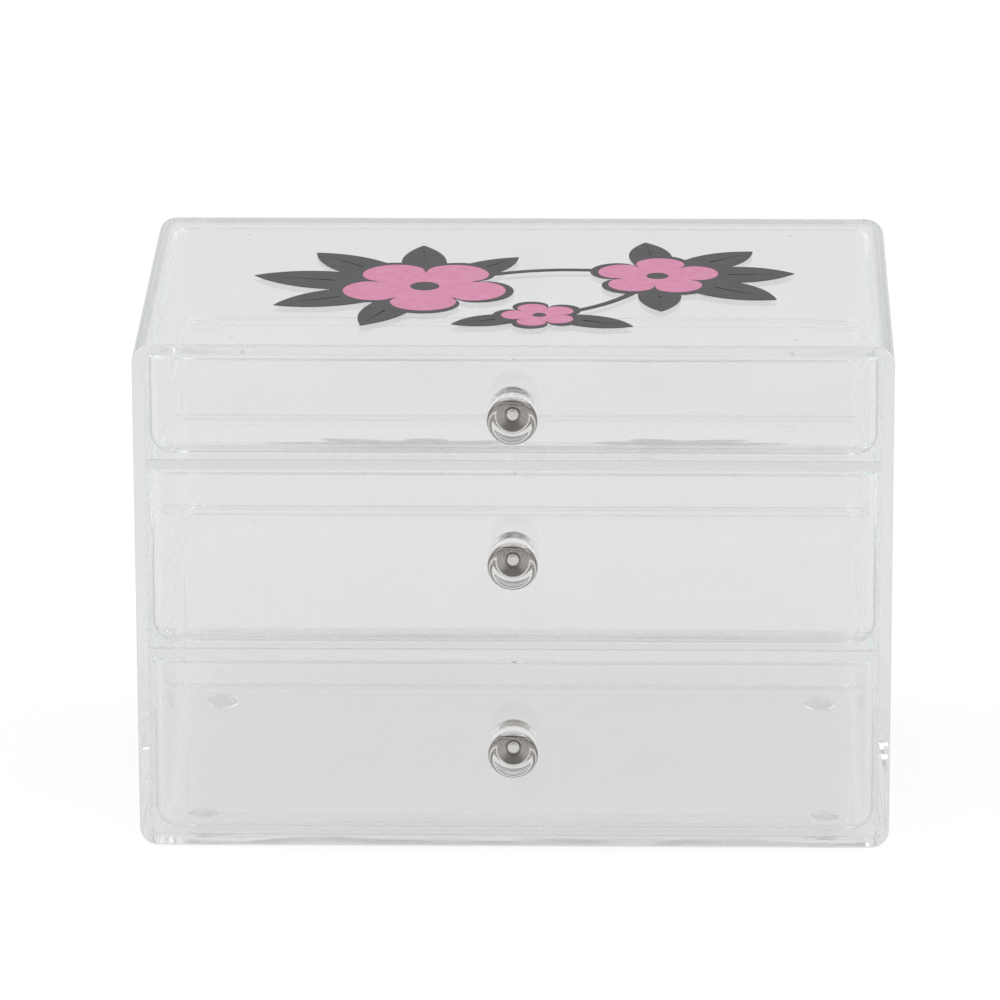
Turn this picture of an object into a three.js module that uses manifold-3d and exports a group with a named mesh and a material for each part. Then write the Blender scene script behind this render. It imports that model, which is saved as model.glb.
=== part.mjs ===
// Clear three-drawer organizer box for a vanity table.
// Millimetres, +Z up, the drawers face -Y. The origin is on the table, under the middle of the whole
// object's bounding box, knobs included.
import * as THREE from 'three';
import { mergeVertices } from 'three/addons/utils/BufferGeometryUtils.js';
import Module from 'manifold-3d';

const wasm = await Module();
wasm.setup();

// Case: a rounded sleeve, closed by a back panel and divided by two shelves
const caseWidth = 240;
const caseDepth = 144;
const sideWall = 4;
const topWall = 3.5;
const baseWall = 4;
const backWall = 3.5;
const shelfThickness = 3.4;
const deepTierHeight = 59.7;
const shallowTierHeight = 34.3;
const caseEdgeRadius = 6;
const caseInnerRadius = 2;
const shelfNoseRadius = 0.4;

// Guide ribs under the top and the shelves, two near the front and two near the back
const ribSideInset = 31;
const ribWidth = 1.2;
const ribDrop = 0.8;
const frontRibInset = 12;
const frontRibLength = 21;
const backRibInset = 14;
const backRibLength = 14;

// Clear bumper feet under the base
const footHeight = 1.5;
const footDiameter = 11;
const footFlatDiameter = 7;
const footSideInset = 20;
const footEndInset = 18;

// Drawers: moulded trays with rounded upright corners and rounded bottom edges, tight at the back
const drawerWall = 2.2;
const drawerFloor = 2.2;
const drawerCornerRadius = 8;
const drawerBottomRadius = 6.5;
const drawerBackFillet = 0.5;
const drawerSideGap = 0.8;
const drawerFrontRecess = 0.8;
const drawerBackGap = 0.7;
const drawerTopGap = 1.5;
const drawerRunningGap = 0.3;

// Knobs: clear heads on flanged inserts, each held by a screw and a washer from inside the drawer
const knobDiameter = 16;
const knobBackTaper = 1;
const knobTaperLength = 3;
const knobProjection = 16;
const knobEdgeRadius = 2;
const knobCrown = 0.8;
const deepKnobHeight = 32;
const shallowKnobHeight = 17;
const insertDiameter = 9.4;
const insertLength = 6.5;
const insertDish = 1.3;
const insertFlangeDiameter = 11.8;
const insertFlange = 1.2;
const insertClearance = 0.3;
const screwDiameter = 4;
const screwClearance = 0.3;
const screwTip = 0.5;
const screwHeadDiameter = 6.8;
const screwHeadHeight = 2.2;
const screwHeadCrown = 0.8;
const slotWidth = 0.9;
const slotLength = 3.8;
const slotDepth = 1.2;
const washerDiameter = 9;
const washerThickness = 0.8;

// Printed film on the top: blossoms in one ink, their centres and the leaf spray round them in the other
const filmThickness = 0.2;
const inkGap = 0.6;
const printForward = 4;
const petals = 5;
const petalNotch = 0.56;
const petalRoundness = 0.5;
const centreShare = 0.17;
const contourWidth = 2;
const stemWidth = 2.4;
const veinWidth = 0.9;
const printWidth = 174;
const blossoms = inHundredthsOfPrint(['x', 'y', 'radius'], [
  { name: 'left', x: -17, y: -2, radius: 15.5, turn: 18 },
  { name: 'right', x: 26, y: 5, radius: 11.5, turn: 50 },
  { name: 'front', x: 4.5, y: -20, radius: 7, turn: 0 },
]);
const leaves = inHundredthsOfPrint(['reach', 'width'], [
  { blossom: 0, angle: 168, reach: 17, width: 11 },
  { blossom: 0, angle: 204, reach: 14.5, width: 10 },
  { blossom: 0, angle: 134, reach: 14.5, width: 10 },
  { blossom: 0, angle: 246, reach: 11.5, width: 8.5 },
  { blossom: 0, angle: 92, reach: 11, width: 8.5 },
  { blossom: 0, angle: 48, reach: 10, width: 8 },
  { blossom: 1, angle: 4, reach: 14, width: 10 },
  { blossom: 1, angle: 326, reach: 15, width: 10 },
  { blossom: 1, angle: 42, reach: 12.5, width: 9 },
  { blossom: 1, angle: 96, reach: 10.5, width: 8 },
  { blossom: 1, angle: 272, reach: 11, width: 8 },
  { blossom: 2, angle: 338, reach: 11.5, width: 7 },
  { blossom: 2, angle: 200, reach: 10, width: 6.5 },
]);
const stems = inHundredthsOfPrint(['bendX', 'bendY'], [
  { from: 0, to: 1, bendX: 4.5, bendY: 15.5 },
  { from: 1, to: 2, bendX: 19.5, bendY: -16 },
]);

// Facets on round forms
const cornerSteps = 6;
const roundSides = 24;
const petalSteps = 8;
const leafSteps = 5;
const edgeSteps = 3;

// Sizes worked out from the ones above
const tiers = [
  { name: 'bottom', height: deepTierHeight, knobHeight: deepKnobHeight },
  { name: 'middle', height: deepTierHeight, knobHeight: deepKnobHeight },
  { name: 'top', height: shallowTierHeight, knobHeight: shallowKnobHeight },
];
tiers.forEach((tier, i) => {
  const below = tiers[i - 1];
  tier.floorZ = below ? below.floorZ + below.height + shelfThickness : footHeight + baseWall;
});
const topTier = tiers[tiers.length - 1];
const caseTopZ = topTier.floorZ + topTier.height + topWall;
const caseHeight = caseTopZ - footHeight;
const sleeveDepth = caseDepth - backWall;
const innerWidth = caseWidth - 2 * sideWall;
const knobsAhead = knobProjection - drawerFrontRecess;
const caseFrontY = knobsAhead - (caseDepth + knobsAhead) / 2;
const caseBackY = caseFrontY + caseDepth;
const drawerFrontY = caseFrontY + drawerFrontRecess;
const drawerWidth = innerWidth - 2 * drawerSideGap;
const drawerDepth = sleeveDepth - drawerFrontRecess - drawerBackGap;
const bottomRadius = Math.min(drawerBottomRadius, drawerCornerRadius - 0.5);
const backBottomRadius = drawerWall + drawerBackFillet;
const dishFloor = insertLength - insertDish;

const clearPlastic = { color: 0xe9f1f1, roughness: 0.06, transparent: true, opacity: 0.35 };
const softClear = { color: 0xe4e8e6, roughness: 0.35, transparent: true, opacity: 0.5 };
const chromePlate = { color: 0xc8c4c0, roughness: 0.18, metalness: 1 };
const brightSteel = { color: 0xb9bbbd, roughness: 0.3, metalness: 1 };
const pinkInk = { color: 0xd990b2, roughness: 0.45 };
const greyInk = { color: 0x616062, roughness: 0.45 };

// The listed lengths of each item, typed in hundredths of the print's width, as millimetres
function inHundredthsOfPrint(lengths, items) {
  return items.map((item) => {
    const sized = lengths.map((length) => [length, item[length] * printWidth / 100]);
    return { ...item, ...Object.fromEntries(sized) };
  });
}

const organizer = new THREE.Group();

function addPiece(name, solid, finish) {
  const { vertProperties, triVerts } = solid.getMesh();
  const geometry = new THREE.BufferGeometry();
  geometry.setAttribute('position', new THREE.BufferAttribute(vertProperties, 3));
  geometry.setIndex(new THREE.BufferAttribute(triVerts, 1));
  const mesh = new THREE.Mesh(geometry, new THREE.MeshStandardMaterial(finish));
  mesh.name = name;
  organizer.add(mesh);
  return mesh;
}

// A closed mesh as a solid that can be joined and cut
function solidOf(geometry) {
  geometry.deleteAttribute('normal');
  geometry.deleteAttribute('uv');
  const merged = mergeVertices(geometry, 1e-4);
  const corners = merged.getIndex().array;
  const triVerts = [];
  for (let i = 0; i < corners.length; i += 3) {
    const [a, b, c] = [corners[i], corners[i + 1], corners[i + 2]];
    if (a !== b && b !== c && c !== a) triVerts.push(a, b, c);
  }
  return new wasm.Manifold(new wasm.Mesh({
    numProp: 3,
    vertProperties: new Float32Array(merged.getAttribute('position').array),
    triVerts: new Uint32Array(triVerts),
  }));
}

function joined(solids) {
  return solids.reduce((whole, solid) => whole.add(solid));
}

// A rectangle with rounded corners, as points that run anticlockwise
function roundedOutline(halfWidth, halfDepth, radius) {
  const points = [];
  [[1, 1], [-1, 1], [-1, -1], [1, -1]].forEach(([sideX, sideY], quarter) => {
    for (let step = 0; step <= cornerSteps; step += 1) {
      const angle = (quarter + step / cornerSteps) * Math.PI / 2;
      const x = sideX * (halfWidth - radius) + radius * Math.cos(angle);
      const y = sideY * (halfDepth - radius) + radius * Math.sin(angle);
      points.push(new THREE.Vector2(x, y));
    }
  });
  return points;
}

// An outline in the X-Z plane, drawn out along +Y from the given place
function drawnAlongY(shape, startY, depth) {
  const geometry = new THREE.ExtrudeGeometry(shape, { depth, bevelEnabled: false });
  geometry.rotateX(Math.PI / 2);
  geometry.translate(0, startY + depth, 0);
  return solidOf(geometry);
}

// A solid turned round the Y axis from [radius, distance ahead of the drawer front] pairs
function turned(profile) {
  const points = profile.map(([radius, ahead]) => new THREE.Vector2(radius, ahead));
  const geometry = new THREE.LatheGeometry(points, roundSides);
  geometry.rotateX(Math.PI);
  return solidOf(geometry);
}

function block(width, depth, height, x, y, z) {
  const geometry = new THREE.BoxGeometry(width, depth, height);
  geometry.translate(x, y, z);
  return solidOf(geometry);
}

// Case
function caseOutline(side, base, top, radius) {
  const halfHeight = (caseHeight - base - top) / 2;
  const middleZ = footHeight + base + halfHeight;
  return roundedOutline(caseWidth / 2 - side, halfHeight, radius)
    .map((point) => new THREE.Vector2(point.x, point.y + middleZ));
}

// Four short ribs that hang below a ceiling, each rooted in the plate above it
function guideRibs(ceilingZ, plate) {
  const root = plate / 2;
  const sleeveBackY = caseFrontY + sleeveDepth;
  const places = [
    { startY: caseFrontY + frontRibInset, length: frontRibLength },
    { startY: sleeveBackY - backRibInset - backRibLength, length: backRibLength },
  ];
  return places.flatMap(({ startY, length }) => [-1, 1].map((side) => block(
    ribWidth,
    length,
    ribDrop + root,
    side * (caseWidth / 2 - ribSideInset),
    startY + length / 2,
    ceilingZ + (root - ribDrop) / 2,
  )));
}

function sleeve() {
  const shape = new THREE.Shape(caseOutline(0, 0, 0, caseEdgeRadius));
  shape.holes.push(new THREE.Path(caseOutline(sideWall, baseWall, topWall, caseInnerRadius)));
  const walls = drawnAlongY(shape, caseFrontY, sleeveDepth);
  return joined([walls, ...guideRibs(caseTopZ - topWall, topWall)]);
}

function backPanel() {
  const shape = new THREE.Shape(caseOutline(0, 0, 0, caseEdgeRadius));
  return drawnAlongY(shape, caseFrontY + sleeveDepth, backWall);
}

// A plate with a rounded front edge, from side wall to side wall and back to the back panel
function shelf(undersideZ) {
  const nose = shelfNoseRadius;
  const profile = new THREE.Shape();
  profile.moveTo(sleeveDepth, 0);
  profile.lineTo(sleeveDepth, shelfThickness);
  profile.lineTo(nose, shelfThickness);
  profile.absarc(nose, shelfThickness - nose, nose, Math.PI / 2, Math.PI, false);
  profile.absarc(nose, nose, nose, Math.PI, Math.PI * 1.5, false);
  const geometry = new THREE.ExtrudeGeometry(profile, {
    depth: innerWidth,
    bevelEnabled: false,
    curveSegments: cornerSteps,
  });
  geometry.rotateX(Math.PI / 2);
  geometry.rotateZ(Math.PI / 2);
  geometry.translate(-innerWidth / 2, caseFrontY, undersideZ);
  return joined([solidOf(geometry), ...guideRibs(undersideZ, shelfThickness)]);
}

// A soft dome with a flat to stand on
function foot() {
  const flatRadius = footFlatDiameter / 2;
  const spread = footDiameter / 2 - flatRadius;
  const points = [new THREE.Vector2(0, 0)];
  for (let step = 0; step <= edgeSteps; step += 1) {
    const angle = (step / edgeSteps) * Math.PI / 2;
    const radius = flatRadius + spread * Math.sin(angle);
    points.push(new THREE.Vector2(radius, footHeight * (1 - Math.cos(angle))));
  }
  points.push(new THREE.Vector2(0, footHeight));
  const geometry = new THREE.LatheGeometry(points, roundSides);
  geometry.rotateX(Math.PI / 2);
  return solidOf(geometry);
}

addPiece('outer_case', sleeve(), clearPlastic);
addPiece('back_panel', backPanel(), clearPlastic);
addPiece('lower_shelf', shelf(tiers[1].floorZ - shelfThickness), clearPlastic);
addPiece('upper_shelf', shelf(tiers[2].floorZ - shelfThickness), clearPlastic);
[['front', caseFrontY + footEndInset], ['back', caseBackY - footEndInset]].forEach(([end, y]) => {
  [['left', -1], ['right', 1]].forEach(([hand, side]) => {
    const x = side * (caseWidth / 2 - footSideInset);
    addPiece(`foot_${end}_${hand}`, foot(), softClear).position.set(x, y, 0);
  });
});

// Drawers
// A tray's outline with one margin at its front and sides and another at its back
function trayOutline(margin, backMargin) {
  const points = [];
  [[1, 1], [-1, 1], [-1, -1], [1, -1]].forEach(([sideX, sideY], quarter) => {
    const reachX = drawerCornerRadius - margin;
    const reachY = drawerCornerRadius - (sideY > 0 ? backMargin : margin);
    for (let step = 0; step <= cornerSteps; step += 1) {
      const angle = (quarter + step / cornerSteps) * Math.PI / 2;
      const x = sideX * (drawerWidth / 2 - drawerCornerRadius) + reachX * Math.cos(angle);
      const y = sideY * (drawerDepth / 2 - drawerCornerRadius) + reachY * Math.sin(angle);
      points.push(new THREE.Vector2(x, y));
    }
  });
  return points;
}

// How far in a wall with a rounded foot stands at a height
function footMargin(height, radius) {
  return height < radius ? radius - Math.sqrt(radius ** 2 - (radius - height) ** 2) : 0;
}

// The outlines that a tray's skin passes through: up the outside, over the rim and down the inside
function trayLevels(height) {
  function footLevel(wall, floor, step) {
    const radius = bottomRadius - wall;
    const rise = radius * (1 - Math.cos((step / cornerSteps) * Math.PI / 2));
    const margin = wall + footMargin(rise, radius);
    const backMargin = wall + footMargin(rise, backBottomRadius - wall);
    return { outline: trayOutline(margin, backMargin), z: floor + rise };
  }
  const steps = Array.from({ length: cornerSteps + 1 }, (_, step) => step);
  return [
    ...steps.map((step) => footLevel(0, 0, step)),
    { outline: trayOutline(0, 0), z: height },
    { outline: trayOutline(drawerWall, drawerWall), z: height },
    ...steps.reverse().map((step) => footLevel(drawerWall, drawerFloor, step)),
  ];
}

// A skin through outlines of equal point counts, closed flat at both ends
function skinThrough(levels) {
  const count = levels[0].outline.length;
  const top = levels.length - 1;
  const positions = levels.flatMap(({ outline, z }) => outline.flatMap((point) => [point.x, point.y, z]));
  const firstCentre = positions.length / 3;
  positions.push(0, 0, levels[0].z);
  positions.push(0, 0, levels[top].z);
  const index = [];
  for (let i = 0; i < count; i += 1) {
    const next = (i + 1) % count;
    for (let level = 0; level < top; level += 1) {
      const low = level * count;
      const high = low + count;
      index.push(low + i, low + next, high + next);
      index.push(low + i, high + next, high + i);
    }
    index.push(firstCentre, next, i);
    index.push(firstCentre + 1, top * count + i, top * count + next);
  }
  const geometry = new THREE.BufferGeometry();
  geometry.setAttribute('position', new THREE.Float32BufferAttribute(positions, 3));
  geometry.setIndex(index);
  return solidOf(geometry);
}

function tray(height, knobHeight) {
  const walls = skinThrough(trayLevels(height));
  const radius = screwDiameter / 2 + screwClearance;
  const drill = new THREE.CylinderGeometry(radius, radius, drawerWall * 3, roundSides);
  drill.translate(0, -drawerDepth / 2, knobHeight);
  return walls.subtract(solidOf(drill));
}

// A head with a counterbore in its back for the insert and its flange
function knobHead() {
  const radius = knobDiameter / 2;
  const bore = insertDiameter / 2 + insertClearance;
  const boreDepth = insertLength + insertClearance;
  const flangeBore = insertFlangeDiameter / 2 + insertClearance;
  const seat = insertFlange + insertClearance;
  const rim = radius - knobEdgeRadius;
  const profile = [
    [0, boreDepth],
    [bore, boreDepth],
    [bore, seat],
    [flangeBore, seat],
    [flangeBore, 0],
    [radius - knobBackTaper, 0],
    [radius, knobTaperLength],
  ];
  for (let step = 0; step <= edgeSteps; step += 1) {
    const angle = (step / edgeSteps) * Math.PI / 2;
    const ahead = knobProjection - knobCrown - knobEdgeRadius * (1 - Math.sin(angle));
    profile.push([rim + knobEdgeRadius * Math.cos(angle), ahead]);
  }
  profile.push([rim * 0.6, knobProjection - knobCrown * 0.36]);
  profile.push([0, knobProjection]);
  return turned(profile);
}

// A flanged sleeve with a threaded hole right through it and a dished face
function knobInsert() {
  const radius = insertDiameter / 2;
  const flange = insertFlangeDiameter / 2;
  const thread = screwDiameter / 2 + screwClearance;
  return turned([
    [thread, dishFloor],
    [thread, 0],
    [flange, 0],
    [flange, insertFlange],
    [radius, insertFlange],
    [radius, insertLength],
    [radius * 0.94, insertLength],
    [thread, dishFloor],
  ]);
}

function knobWasher() {
  const inner = screwDiameter / 2 + screwClearance;
  const outer = washerDiameter / 2;
  const back = -drawerWall - washerThickness;
  return turned([[inner, back], [outer, back], [outer, -drawerWall], [inner, -drawerWall], [inner, back]]);
}

// A crown-headed screw with a cross slot
function knobScrew() {
  const shank = screwDiameter / 2;
  const head = screwHeadDiameter / 2;
  const seat = -drawerWall - washerThickness;
  const reach = dishFloor + screwTip;
  const crownEnd = seat - screwHeadHeight;
  const body = turned([
    [0, crownEnd],
    [head * 0.65, crownEnd + screwHeadCrown * 0.35],
    [head, crownEnd + screwHeadCrown],
    [head, seat],
    [shank, seat],
    [shank, reach - shank * 0.3],
    [shank * 0.7, reach],
    [0, reach],
  ]);
  const slotY = -crownEnd;
  const cross = [[slotLength, slotWidth], [slotWidth, slotLength]];
  return cross.reduce((screw, [width, height]) => (
    screw.subtract(block(width, slotDepth * 2, height, 0, slotY, 0))
  ), body);
}

tiers.forEach(({ name, floorZ, height, knobHeight }) => {
  const trayZ = floorZ + drawerRunningGap;
  const trayHeight = height - drawerRunningGap - drawerTopGap;
  const drawer = addPiece(`drawer_${name}`, tray(trayHeight, knobHeight), clearPlastic);
  drawer.position.set(0, drawerFrontY + drawerDepth / 2, trayZ);
  const knobPieces = [
    addPiece(`knob_${name}`, knobHead(), clearPlastic),
    addPiece(`knob_insert_${name}`, knobInsert(), chromePlate),
    addPiece(`knob_washer_${name}`, knobWasher(), brightSteel),
    addPiece(`knob_screw_${name}`, knobScrew(), brightSteel),
  ];
  knobPieces.forEach((piece) => piece.position.set(0, drawerFrontY, trayZ + knobHeight));
});

// Print
function blossomOutline(x, y, radius, turn) {
  const points = [];
  for (let i = 0; i < petals * petalSteps; i += 1) {
    const lobe = Math.sin((i % petalSteps) / petalSteps * Math.PI) ** petalRoundness;
    const reach = radius * (petalNotch + (1 - petalNotch) * lobe);
    const angle = THREE.MathUtils.degToRad(turn) + (i / (petals * petalSteps)) * Math.PI * 2;
    points.push(new THREE.Vector2(x + reach * Math.cos(angle), y + reach * Math.sin(angle)));
  }
  return points;
}

function circleOutline(x, y, radius) {
  const circle = new THREE.EllipseCurve(x, y, radius, radius);
  return circle.getPoints(roundSides).slice(0, roundSides);
}

function film(shape, thickness = filmThickness) {
  const geometry = new THREE.ExtrudeGeometry(shape, {
    depth: thickness,
    bevelEnabled: false,
    curveSegments: leafSteps,
  });
  return solidOf(geometry);
}

// A cutter that reaches past both faces of the film
function filmCutter(shape) {
  return film(shape, filmThickness * 3).translate([0, 0, -filmThickness]);
}

function leaf({ blossom, angle, reach, width }) {
  const { x, y, radius } = blossoms[blossom];
  const length = radius + reach;
  const blade = new THREE.Shape();
  blade.moveTo(0, 0);
  blade.quadraticCurveTo(length * 0.62, -width, length, 0);
  blade.quadraticCurveTo(length * 0.62, width, 0, 0);
  const vein = new THREE.Shape();
  vein.moveTo(0, -veinWidth / 2);
  vein.lineTo(length - reach * 0.25, 0);
  vein.lineTo(0, veinWidth / 2);
  return film(blade).subtract(filmCutter(vein)).rotate([0, 0, angle]).translate([x, y, 0]);
}

// A ribbon of even width along a bend from one blossom to another
function stem({ from, to, bendX, bendY }) {
  const bend = new THREE.QuadraticBezierCurve(
    new THREE.Vector2(blossoms[from].x, blossoms[from].y),
    new THREE.Vector2(bendX, bendY),
    new THREE.Vector2(blossoms[to].x, blossoms[to].y),
  );
  const steps = leafSteps * 2;
  const edge = (side) => Array.from({ length: steps + 1 }, (_, step) => {
    const share = step / steps;
    const along = bend.getTangent(share);
    const point = bend.getPoint(share);
    const offset = side * stemWidth / 2;
    return new THREE.Vector2(point.x - along.y * offset, point.y + along.x * offset);
  });
  return film(new THREE.Shape([...edge(-1), ...edge(1).reverse()]));
}

// Stems, leaves and a contour round each blossom, cut clear of the petals
function leafSpray() {
  const grownShape = ({ x, y, radius, turn }, growth) => (
    new THREE.Shape(blossomOutline(x, y, radius + growth, turn))
  );
  const contours = blossoms.map((blossom) => film(grownShape(blossom, inkGap + contourWidth)));
  const whole = joined([...stems.map(stem), ...leaves.map(leaf), ...contours]);
  return blossoms.reduce((spray, blossom) => spray.subtract(filmCutter(grownShape(blossom, inkGap))), whole);
}

function petalFilm({ x, y, radius, turn }) {
  const shape = new THREE.Shape(blossomOutline(x, y, radius, turn));
  shape.holes.push(new THREE.Path(circleOutline(x, y, radius * centreShare + inkGap)));
  return film(shape);
}

function centreFilm({ x, y, radius }) {
  return film(new THREE.Shape(circleOutline(x, y, radius * centreShare)));
}

const prints = [addPiece('print_leaves', leafSpray(), greyInk)];
blossoms.forEach((blossom) => {
  prints.push(addPiece(`print_blossom_${blossom.name}`, petalFilm(blossom), pinkInk));
  prints.push(addPiece(`print_centre_${blossom.name}`, centreFilm(blossom), greyInk));
});
const printY = (caseFrontY + caseBackY) / 2 - printForward;
prints.forEach((print) => print.position.set(0, printY, caseTopZ));

export default organizer;
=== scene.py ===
# %% [markdown]
# # A clear organizer box with three drawers
#
# The real thing is a moulded box of clear plastic for a vanity table. Almost nothing of it has a
# colour of its own: what the eye sees is the room, bent and mirrored by walls that are 2 to 4 mm
# thick. So the lesson is about two things. The walls have to be closed solids with a true
# thickness and true round edges, because a renderer bends light at each face. And the room
# around the box matters as much as the box.
#
# The imported model gives the place and size of every piece. This script loads it first and keeps
# its box.

# %% Load the imported model
import math

import bmesh
import bpy
from mathutils import Matrix, Vector
from mathutils.geometry import interpolate_bezier


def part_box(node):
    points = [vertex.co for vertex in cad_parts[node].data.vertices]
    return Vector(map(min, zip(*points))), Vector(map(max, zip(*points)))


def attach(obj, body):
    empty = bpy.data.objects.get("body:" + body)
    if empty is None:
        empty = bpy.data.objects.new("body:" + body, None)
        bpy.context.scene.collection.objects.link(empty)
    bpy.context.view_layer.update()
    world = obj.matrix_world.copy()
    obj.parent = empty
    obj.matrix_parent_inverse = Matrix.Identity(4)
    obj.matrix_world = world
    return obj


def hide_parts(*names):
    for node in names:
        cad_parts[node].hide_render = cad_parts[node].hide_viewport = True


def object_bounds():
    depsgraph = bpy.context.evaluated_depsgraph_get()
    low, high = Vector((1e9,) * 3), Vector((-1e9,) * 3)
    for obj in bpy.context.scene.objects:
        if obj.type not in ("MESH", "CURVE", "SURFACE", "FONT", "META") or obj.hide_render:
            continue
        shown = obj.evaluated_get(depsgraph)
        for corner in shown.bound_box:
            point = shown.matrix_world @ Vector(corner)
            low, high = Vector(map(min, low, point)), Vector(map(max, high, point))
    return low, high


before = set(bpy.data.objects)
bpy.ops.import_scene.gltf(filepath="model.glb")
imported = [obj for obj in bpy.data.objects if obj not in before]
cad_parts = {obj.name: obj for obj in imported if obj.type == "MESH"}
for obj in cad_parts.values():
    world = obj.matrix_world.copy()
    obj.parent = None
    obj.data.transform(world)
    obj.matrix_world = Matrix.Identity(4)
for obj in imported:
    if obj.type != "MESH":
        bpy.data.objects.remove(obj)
packed_low, packed_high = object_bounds()
MM = 0.001
print("packed model, in mm:", [round(side / MM, 1) for side in packed_high - packed_low])

# %% [markdown]
# ## Small tools
#
# Each piece starts as a bmesh: a few vertices or a box, shaped by the same operators that the
# editor has. Three helpers cover most of the box. One makes a block between two corners, one
# rounds edges, and one turns a half outline round an axis, as a lathe does.
#
# The last helper turns a bmesh into a piece of the model. It shades the faces smooth and adds a
# Weighted Normal modifier, which gives the large flat faces their true direction right up to
# their round edges. On an opaque box that is a nicety. On a clear one it is needed, since a flat
# wall with tilted normals bends the view through it like a lens. For the same reason each edge
# with a sharp turn is marked as sharp. A narrow end face would otherwise take on the direction of
# the large face beside it, and light would leave it the wrong way.

# %% Helpers for shapes
ROUND_STEPS = 20
RIM_STEPS = 4
TURN_STEPS = 64
SAME_PLACE = 1e-6
SHARP_TURN = math.radians(40)


def add_block(bm, low, high):
    """A box between two corners."""
    low, high = Vector(low), Vector(high)
    corners = bmesh.ops.create_cube(bm, size=1)["verts"]
    bmesh.ops.scale(bm, vec=high - low, verts=corners)
    bmesh.ops.translate(bm, vec=(low + high) / 2, verts=corners)


def edges_along(bm, axis):
    """The edges that run along X, Y or Z, as 0, 1 or 2."""
    return [e for e in bm.edges if abs((e.verts[1].co - e.verts[0].co).normalized()[axis]) > 0.999]


def edges_at(bm, axis, place):
    """The edges that lie in the plane at that place on an axis."""
    return [e for e in bm.edges if all(abs(v.co[axis] - place) < SAME_PLACE for v in e.verts)]


def sharp_only(edges):
    """Drops the edges between two faces that lie flat against each other."""
    return [e for e in edges if e.calc_face_angle(math.pi) > SHARP_TURN]


def round_off(bm, geom, radius, steps=ROUND_STEPS, affect="EDGES"):
    """Rounds edges, or the corners of an outline."""
    bmesh.ops.bevel(
        bm, geom=geom, offset=radius, offset_type="OFFSET", segments=steps,
        profile=0.5, affect=affect, clamp_overlap=False, material=-1,
    )


def lathe(bm, outline, centre, steps=TURN_STEPS):
    """Turns a half outline round an axis along -Y. Each point is (radius, distance ahead, rounding)."""
    centre = Vector(centre)
    points = [bm.verts.new(centre + Vector((radius, -ahead, 0))) for radius, ahead, _ in outline]
    for pair in zip(points, points[1:]):
        bm.edges.new(pair)
    for point, (_, _, rounding) in zip(points, outline):
        if rounding:
            round_off(bm, [point], rounding, RIM_STEPS * 2, affect="VERTICES")
    bmesh.ops.spin(
        bm, geom=bm.verts[:] + bm.edges[:], cent=centre, axis=(0, 1, 0), angle=math.tau,
        steps=steps, use_merge=True,
    )
    bmesh.ops.remove_doubles(bm, verts=bm.verts, dist=SAME_PLACE)


# %% A helper that makes a piece
def make_piece(bm, name, material, body, nodes):
    """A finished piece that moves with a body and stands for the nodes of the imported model."""
    for face in bm.faces:
        face.smooth = True
    for edge in bm.edges:
        edge.smooth = edge.calc_face_angle(0) < SHARP_TURN
    mesh = bpy.data.meshes.new(name)
    bm.to_mesh(mesh)
    bm.free()
    mesh.materials.append(material)
    piece = bpy.data.objects.new(name, mesh)
    bpy.context.scene.collection.objects.link(piece)
    flats = piece.modifiers.new("true flats", "WEIGHTED_NORMAL")
    flats.weight = 100
    flats.keep_sharp = True
    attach(piece, body)
    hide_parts(*nodes)
    size = [round(side / MM, 2) for side in piece.dimensions]
    print(f"{name}: {size} mm, {len(mesh.polygons)} faces, for {', '.join(nodes)}")
    return piece


# %% [markdown]
# ## The clear plastic
#
# Clear styrene and acrylic are almost the same to a shader: full transmission and an index of
# refraction between 1.49 and 1.59. The value in the middle serves here. Three things make the
# plastic look like a moulded box and not like ideal glass.
#
# - Long paths through the plastic take on a faint blue-green. Volume Absorption does that, and
#   so the thin walls stay neutral while the edges and ends, where the light has come a long way,
#   show the tint.
# - The skin isn't optically flat. A noise that leans the normals by a few hundredths of a degree
#   gives the slow waves of a moulding. So small a lean still shows, because light that runs along
#   inside a wall is mirrored many times. The Bump node does the same on matt things, but on clear
#   ones it leaves black specks where a ray grazes a wall.
# - Handling leaves a soft haze here and there, as a slightly raised roughness.
#
# Glass throws a solid black shadow in a path tracer, because lamps can't be sampled through a
# bent ray. Two Mix Shaders swap it for a plain Transparent shader for shadow rays and diffuse
# rays, so that lamps light what is inside and under the box.
#
# The shelves are seen end-on, through 140 mm of plastic, and show a warmer tone than the case. So
# they have a tint of their own.

# %% Helpers for materials
NOISE_SPAN = (0.3, 0.7)


def new_material(name):
    material = bpy.data.materials.new(name)
    material.use_nodes = True
    nodes = material.node_tree.nodes
    shader = nodes["Principled BSDF"]
    place = nodes.new("ShaderNodeTexCoord")
    return material, nodes, material.node_tree.links, shader, place.outputs["Object"]


def add_noise(nodes, links, place, scale, detail=2.0):
    """A noise pattern with about that many waves to the metre."""
    noise = nodes.new("ShaderNodeTexNoise")
    noise.inputs["Scale"].default_value = scale
    noise.inputs["Detail"].default_value = detail
    links.new(place, noise.inputs["Vector"])
    return noise.outputs["Fac"]


def add_range(nodes, links, value, from_low, from_high, to_low, to_high):
    """Spreads a value from one range over another, and stops at its ends."""
    spread = nodes.new("ShaderNodeMapRange")
    spread.inputs["From Min"].default_value = from_low
    spread.inputs["From Max"].default_value = from_high
    spread.inputs["To Min"].default_value = to_low
    spread.inputs["To Max"].default_value = to_high
    links.new(value, spread.inputs["Value"])
    return spread.outputs["Result"]


def add_bump(nodes, links, shader, height, depth, strength=1.0):
    bump = nodes.new("ShaderNodeBump")
    bump.inputs["Strength"].default_value = strength
    bump.inputs["Distance"].default_value = depth
    links.new(height, bump.inputs["Height"])
    links.new(bump.outputs["Normal"], shader.inputs["Normal"])


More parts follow.
